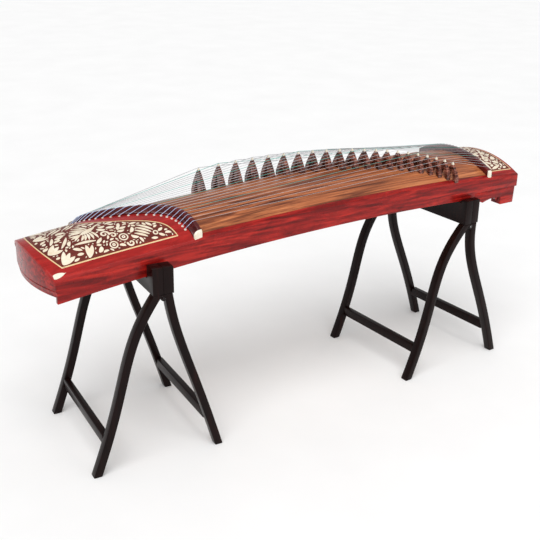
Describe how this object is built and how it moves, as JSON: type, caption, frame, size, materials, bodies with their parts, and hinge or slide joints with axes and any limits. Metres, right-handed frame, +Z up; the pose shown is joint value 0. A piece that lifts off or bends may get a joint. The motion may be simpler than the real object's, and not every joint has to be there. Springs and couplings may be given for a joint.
{
  "type": "guzheng",
  "caption": "Long plucked board zither with a crowned soundboard, movable bridges, inlaid tail deck and hinged head lid, on two folding A-frame stands",
  "frame": {"origin": "On the floor, below the middle of the instrument's length and width.", "axes": "+X from the tail to the head, -Y the player's side, +Z up."},
  "size_m": [1.65, 0.4355, 0.7663],
  "materials": {
    "soundboard_wood": "satin",
    "side_wood": "gloss",
    "inlaid_wood": "satin",
    "nut_wood": "gloss",
    "bridge_wood": "satin",
    "block_wood": "matte",
    "bone": "satin",
    "string": "polished",
    "pin_steel": "polished",
    "stand_wood": "satin"
  },
  "bodies": {
    "guzheng": {"soundboard": "soundboard_wood", "bottom_board": "soundboard_wood", "front_side_panel": "side_wood", "rear_side_panel": "side_wood", "tail_end_panel": "side_wood", "tail_deck": "inlaid_wood", "tail_nut": "nut_wood", "head_nut": "nut_wood", "head_foot_frame": "side_wood", "pin_block": "block_wood", "cross_braces": "soundboard_wood", "bone_trim": "bone", "strings": "string"},
    "head_lid": {"head_lid": "inlaid_wood"},
    "head_stand_inner_frame": {"head_stand_inner_frame": "stand_wood"},
    "head_stand_outer_frame": {"head_stand_outer_frame": "stand_wood"},
    "tail_stand_outer_frame": {"tail_stand_outer_frame": "stand_wood"},
    "tail_stand_inner_frame": {"tail_stand_inner_frame": "stand_wood"},
    "bridge_01": {"bridge_01": "bridge_wood"},
    "bridge_02": {"bridge_02": "bridge_wood"},
    "bridge_03": {"bridge_03": "bridge_wood"},
    "bridge_04": {"bridge_04": "bridge_wood"},
    "bridge_05": {"bridge_05": "bridge_wood"},
    "bridge_06": {"bridge_06": "bridge_wood"},
    "bridge_07": {"bridge_07": "bridge_wood"},
    "bridge_08": {"bridge_08": "bridge_wood"},
    "bridge_09": {"bridge_09": "bridge_wood"},
    "bridge_10": {"bridge_10": "bridge_wood"},
    "bridge_11": {"bridge_11": "bridge_wood"},
    "bridge_12": {"bridge_12": "bridge_wood"},
    "bridge_13": {"bridge_13": "bridge_wood"},
    "bridge_14": {"bridge_14": "bridge_wood"},
    "bridge_15": {"bridge_15": "bridge_wood"},
    "bridge_16": {"bridge_16": "bridge_wood"},
    "bridge_17": {"bridge_17": "bridge_wood"},
    "bridge_18": {"bridge_18": "bridge_wood"},
    "bridge_19": {"bridge_19": "bridge_wood"},
    "bridge_20": {"bridge_20": "bridge_wood"},
    "bridge_21": {"bridge_21": "bridge_wood"},
    "tuning_pin_01": {"tuning_pin_01": "pin_steel"},
    "tuning_pin_02": {"tuning_pin_02": "pin_steel"},
    "tuning_pin_03": {"tuning_pin_03": "pin_steel"},
    "tuning_pin_04": {"tuning_pin_04": "pin_steel"},
    "tuning_pin_05": {"tuning_pin_05": "pin_steel"},
    "tuning_pin_06": {"tuning_pin_06": "pin_steel"},
    "tuning_pin_07": {"tuning_pin_07": "pin_steel"},
    "tuning_pin_08": {"tuning_pin_08": "pin_steel"},
    "tuning_pin_09": {"tuning_pin_09": "pin_steel"},
    "tuning_pin_10": {"tuning_pin_10": "pin_steel"},
    "tuning_pin_11": {"tuning_pin_11": "pin_steel"},
    "tuning_pin_12": {"tuning_pin_12": "pin_steel"},
    "tuning_pin_13": {"tuning_pin_13": "pin_steel"},
    "tuning_pin_14": {"tuning_pin_14": "pin_steel"},
    "tuning_pin_15": {"tuning_pin_15": "pin_steel"},
    "tuning_pin_16": {"tuning_pin_16": "pin_steel"},
    "tuning_pin_17": {"tuning_pin_17": "pin_steel"},
    "tuning_pin_18": {"tuning_pin_18": "pin_steel"},
    "tuning_pin_19": {"tuning_pin_19": "pin_steel"},
    "tuning_pin_20": {"tuning_pin_20": "pin_steel"},
    "tuning_pin_21": {"tuning_pin_21": "pin_steel"}
  },
  "joints": [
    {"name": "fold_head_stand", "type": "hinge", "parent": "head_stand_inner_frame", "child": "head_stand_outer_frame", "pos_m": [0.59098, 0.00109, 0.502], "axis": [-0.0436, 0.999, 0], "range_deg": [0, 32]},
    {"name": "lift_off_head_stand", "type": "slide", "parent": "guzheng", "child": "head_stand_inner_frame", "axis": [0, 0, -1], "range_m": [0, 0.12]},
    {"name": "fold_tail_stand", "type": "hinge", "parent": "tail_stand_outer_frame", "child": "tail_stand_inner_frame", "pos_m": [-0.50506, -0.00174, 0.502], "axis": [0.0698, 0.9976, 0], "range_deg": [0, 32]},
    {"name": "lift_off_tail_stand", "type": "slide", "parent": "guzheng", "child": "tail_stand_outer_frame", "axis": [0, 0, -1], "range_m": [0, 0.12]},
    {"name": "lid_hinge", "type": "hinge", "parent": "guzheng", "child": "head_lid", "pos_m": [0.8205, 0, 0.639], "axis": [0, 1, 0], "range_deg": [0, 105]},
    {"name": "slide_bridge_01", "type": "slide", "parent": "guzheng", "child": "bridge_01", "axis": [0.9998, 0, -0.0198], "range_m": [-0.005, 0.005], "deforming": ["strings"]},
    {"name": "slide_bridge_02", "type": "slide", "parent": "guzheng", "child": "bridge_02", "axis": [0.9998, 0, -0.0201], "range_m": [-0.005, 0.005], "deforming": ["strings"]},
    {"name": "slide_bridge_03", "type": "slide", "parent": "guzheng", "child": "bridge_03", "axis": [0.9998, 0, -0.0198], "range_m": [-0.005, 0.005], "deforming": ["strings"]},
    {"name": "slide_bridge_04", "type": "slide", "parent": "guzheng", "child": "bridge_04", "axis": [0.9998, 0, -0.019], "range_m": [-0.005, 0.005], "deforming": ["strings"]},
    {"name": "slide_bridge_05", "type": "slide", "parent": "guzheng", "child": "bridge_05", "axis": [0.9998, 0, -0.0177], "range_m": [-0.005, 0.005], "deforming": ["strings"]},
    {"name": "slide_bridge_06", "type": "slide", "parent": "guzheng", "child": "bridge_06", "axis": [0.9999, 0, -0.016], "range_m": [-0.005, 0.005], "deforming": ["strings"]},
    {"name": "slide_bridge_07", "type": "slide", "parent": "guzheng", "child": "bridge_07", "axis": [0.9999, 0, -0.0138], "range_m": [-0.005, 0.005], "deforming": ["strings"]},
    {"name": "slide_bridge_08", "type": "slide", "parent": "guzheng", "child": "bridge_08", "axis": [0.9999, 0, -0.0112], "range_m": [-0.005, 0.005], "deforming": ["strings"]},
    {"name": "slide_bridge_09", "type": "slide", "parent": "guzheng", "child": "bridge_09", "axis": [1, 0, -0.0082], "range_m": [-0.005, 0.005], "deforming": ["strings"]},
    {"name": "slide_bridge_10", "type": "slide", "parent": "guzheng", "child": "bridge_10", "axis": [1, 0, -0.0048], "range_m": [-0.005, 0.005], "deforming": ["strings"]},
    {"name": "slide_bridge_11", "type": "slide", "parent": "guzheng", "child": "bridge_11", "axis": [1, 0, -0.001], "range_m": [-0.005, 0.005], "deforming": ["strings"]},
    {"name": "slide_bridge_12", "type": "slide", "parent": "guzheng", "child": "bridge_12", "axis": [1, 0, 0.0032], "range_m": [-0.005, 0.005], "deforming": ["strings"]},
    {"name": "slide_bridge_13", "type": "slide", "parent": "guzheng", "child": "bridge_13", "axis": [1, 0, 0.0077], "range_m": [-0.005, 0.005], "deforming": ["strings"]},
    {"name": "slide_bridge_14", "type": "slide", "parent": "guzheng", "child": "bridge_14", "axis": [0.9999, 0, 0.0126], "range_m": [-0.005, 0.005], "deforming": ["strings"]},
    {"name": "slide_bridge_15", "type": "slide", "parent": "guzheng", "child": "bridge_15", "axis": [0.9998, 0, 0.0179], "range_m": [-0.005, 0.005], "deforming": ["strings"]},
    {"name": "slide_bridge_16", "type": "slide", "parent": "guzheng", "child": "bridge_16", "axis": [0.9997, 0, 0.0236], "range_m": [-0.005, 0.005], "deforming": ["strings"]},
    {"name": "slide_bridge_17", "type": "slide", "parent": "guzheng", "child": "bridge_17", "axis": [0.9996, 0, 0.0297], "range_m": [-0.005, 0.005], "deforming": ["strings"]},
    {"name": "slide_bridge_18", "type": "slide", "parent": "guzheng", "child": "bridge_18", "axis": [0.9993, 0, 0.0363], "range_m": [-0.005, 0.005], "deforming": ["strings"]},
    {"name": "slide_bridge_19", "type": "slide", "parent": "guzheng", "child": "bridge_19", "axis": [0.9991, 0, 0.0434], "range_m": [-0.005, 0.005], "deforming": ["strings"]},
    {"name": "slide_bridge_20", "type": "slide", "parent": "guzheng", "child": "bridge_20", "axis": [0.9987, 0, 0.051], "range_m": [-0.005, 0.005], "deforming": ["strings"]},
    {"name": "slide_bridge_21", "type": "slide", "parent": "guzheng", "child": "bridge_21", "axis": [0.9982, 0, 0.0599], "range_m": [-0.005, 0.005], "deforming": ["strings"]},
    {"name": "turn_pin_01", "type": "hinge", "parent": "guzheng", "child": "tuning_pin_01", "pos_m": [0.735, -0.1478, 0.617], "axis": [0, 0, 1], "continuous": true},
    {"name": "turn_pin_02", "type": "hinge", "parent": "guzheng", "child": "tuning_pin_02", "pos_m": [0.758, -0.1326, 0.617], "axis": [0, 0, 1], "continuous": true},
    {"name": "turn_pin_03", "type": "hinge", "parent": "guzheng", "child": "tuning_pin_03", "pos_m": [0.781, -0.1174, 0.617], "axis": [0, 0, 1], "continuous": true},
    {"name": "turn_pin_04", "type": "hinge", "parent": "guzheng", "child": "tuning_pin_04", "pos_m": [0.735, -0.1022, 0.617], "axis": [0, 0, 1], "continuous": true},
    {"name": "turn_pin_05", "type": "hinge", "parent": "guzheng", "child": "tuning_pin_05", "pos_m": [0.758, -0.087, 0.617], "axis": [0, 0, 1], "continuous": true},
    {"name": "turn_pin_06", "type": "hinge", "parent": "guzheng", "child": "tuning_pin_06", "pos_m": [0.781, -0.0718, 0.617], "axis": [0, 0, 1], "continuous": true},
    {"name": "turn_pin_07", "type": "hinge", "parent": "guzheng", "child": "tuning_pin_07", "pos_m": [0.735, -0.0566, 0.617], "axis": [0, 0, 1], "continuous": true},
    {"name": "turn_pin_08", "type": "hinge", "parent": "guzheng", "child": "tuning_pin_08", "pos_m": [0.758, -0.0414, 0.617], "axis": [0, 0, 1], "continuous": true},
    {"name": "turn_pin_09", "type": "hinge", "parent": "guzheng", "child": "tuning_pin_09", "pos_m": [0.781, -0.0262, 0.617], "axis": [0, 0, 1], "continuous": true},
    {"name": "turn_pin_10", "type": "hinge", "parent": "guzheng", "child": "tuning_pin_10", "pos_m": [0.735, -0.011, 0.617], "axis": [0, 0, 1], "continuous": true},
    {"name": "turn_pin_11", "type": "hinge", "parent": "guzheng", "child": "tuning_pin_11", "pos_m": [0.758, 0.0042, 0.617], "axis": [0, 0, 1], "continuous": true},
    {"name": "turn_pin_12", "type": "hinge", "parent": "guzheng", "child": "tuning_pin_12", "pos_m": [0.781, 0.0194, 0.617], "axis": [0, 0, 1], "continuous": true},
    {"name": "turn_pin_13", "type": "hinge", "parent": "guzheng", "child": "tuning_pin_13", "pos_m": [0.735, 0.0346, 0.617], "axis": [0, 0, 1], "continuous": true},
    {"name": "turn_pin_14", "type": "hinge", "parent": "guzheng", "child": "tuning_pin_14", "pos_m": [0.758, 0.0498, 0.617], "axis": [0, 0, 1], "continuous": true},
    {"name": "turn_pin_15", "type": "hinge", "parent": "guzheng", "child": "tuning_pin_15", "pos_m": [0.781, 0.065, 0.617], "axis": [0, 0, 1], "continuous": true},
    {"name": "turn_pin_16", "type": "hinge", "parent": "guzheng", "child": "tuning_pin_16", "pos_m": [0.735, 0.0802, 0.617], "axis": [0, 0, 1], "continuous": true},
    {"name": "turn_pin_17", "type": "hinge", "parent": "guzheng", "child": "tuning_pin_17", "pos_m": [0.758, 0.0954, 0.617], "axis": [0, 0, 1], "continuous": true},
    {"name": "turn_pin_18", "type": "hinge", "parent": "guzheng", "child": "tuning_pin_18", "pos_m": [0.781, 0.1106, 0.617], "axis": [0, 0, 1], "continuous": true},
    {"name": "turn_pin_19", "type": "hinge", "parent": "guzheng", "child": "tuning_pin_19", "pos_m": [0.735, 0.1258, 0.617], "axis": [0, 0, 1], "continuous": true},
    {"name": "turn_pin_20", "type": "hinge", "parent": "guzheng", "child": "tuning_pin_20", "pos_m": [0.758, 0.141, 0.617], "axis": [0, 0, 1], "continuous": true},
    {"name": "turn_pin_21", "type": "hinge", "parent": "guzheng", "child": "tuning_pin_21", "pos_m": [0.781, 0.1562, 0.617], "axis": [0, 0, 1], "continuous": true}
  ]
}
